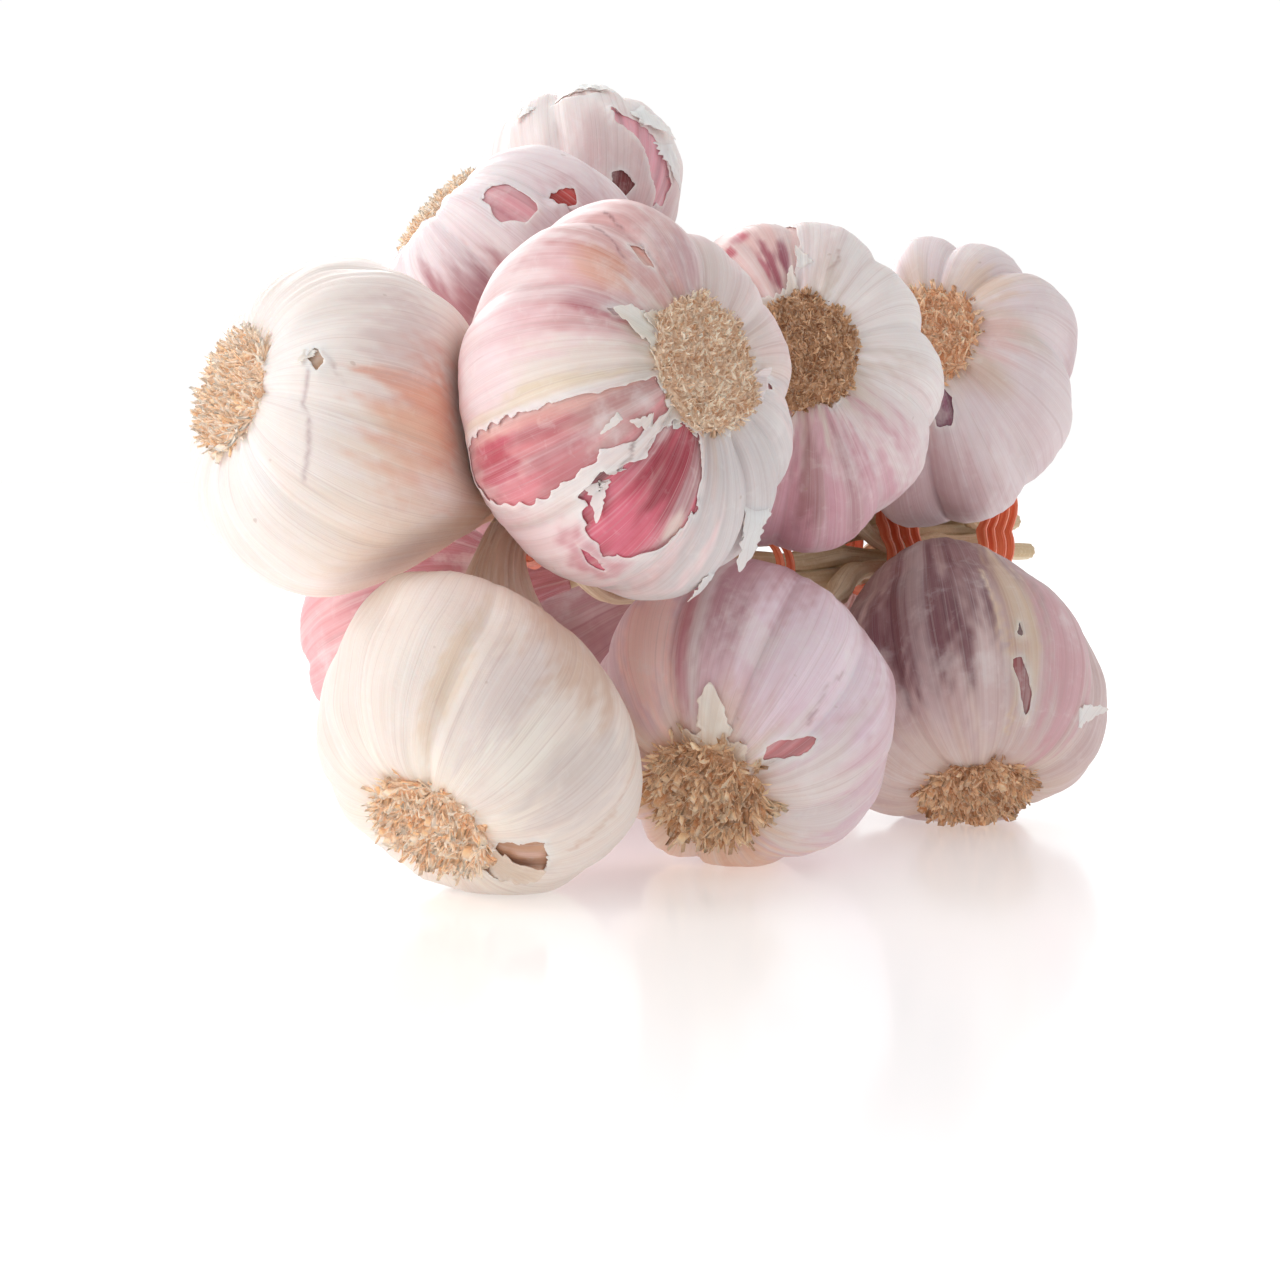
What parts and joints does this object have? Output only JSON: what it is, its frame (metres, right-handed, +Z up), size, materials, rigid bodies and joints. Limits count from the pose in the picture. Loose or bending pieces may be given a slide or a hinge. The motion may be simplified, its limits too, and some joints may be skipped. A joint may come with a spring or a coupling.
{
  "type": "tied bunch of garlic bulbs",
  "caption": "Bunch of dried garlic bulbs lying on its side, their stems gathered into one bundle and bound with flat plastic twine, roots facing outwards all round",
  "frame": {"origin": "middle of the bunch's footprint on the surface it lies on (centre of the bounding box's underside)", "axes": "+Z up, +X along the bundle of stems towards its cut ends, +Y away from the side with the front row of bulbs"},
  "size_m": [0.2112, 0.1278, 0.1419],
  "materials": {
    "cream_skin": "dry papery skin, cream white with faint yellow and lilac streaks, slight sheen",
    "pink_skin": "dry papery skin, white to pink with mauve streaks and crimson where the outer skin is torn, slight sheen",
    "dried_roots": "rough tuft of dry brown root fibres",
    "dried_stem": "matte dry fibrous stem, tan",
    "twine_plastic": "orange-red flat plastic strip with a soft gloss"
  },
  "bodies": {
    "root": {"bulb_left_end": "cream_skin", "roots_left_end": "dried_roots", "stem_left_end": "dried_stem", "bulb_front_upper_1": "pink_skin", "roots_front_upper_1": "dried_roots", "stem_front_upper_1": "dried_stem", "bulb_front_upper_2": "pink_skin", "roots_front_upper_2": "dried_roots", "stem_front_upper_2": "dried_stem", "bulb_front_upper_3": "pink_skin", "roots_front_upper_3": "dried_roots", "stem_front_upper_3": "dried_stem", "bulb_front_lower_1": "cream_skin", "roots_front_lower_1": "dried_roots", "stem_front_lower_1": "dried_stem", "bulb_front_lower_2": "pink_skin", "roots_front_lower_2": "dried_roots", "stem_front_lower_2": "dried_stem", "bulb_front_lower_3": "pink_skin", "roots_front_lower_3": "dried_roots", "stem_front_lower_3": "dried_stem", "bulb_top_back_1": "pink_skin", "roots_top_back_1": "dried_roots", "stem_top_back_1": "dried_stem", "bulb_top_back_2": "pink_skin", "roots_top_back_2": "dried_roots", "stem_top_back_2": "dried_stem", "bulb_back_lower_1": "pink_skin", "roots_back_lower_1": "dried_roots", "stem_back_lower_1": "dried_stem", "bulb_back_lower_2": "pink_skin", "roots_back_lower_2": "dried_roots", "stem_back_lower_2": "dried_stem", "bulb_back_lower_3": "pink_skin", "roots_back_lower_3": "dried_roots", "stem_back_lower_3": "dried_stem", "bulb_back_upper_1": "pink_skin", "roots_back_upper_1": "dried_roots", "stem_back_upper_1": "dried_stem", "bulb_back_upper_2": "pink_skin", "roots_back_upper_2": "dried_roots", "stem_back_upper_2": "dried_stem", "tie_1": "twine_plastic", "tie_2": "twine_plastic", "tie_3": "twine_plastic", "tie_4": "twine_plastic"}
  },
  "joints": []
}
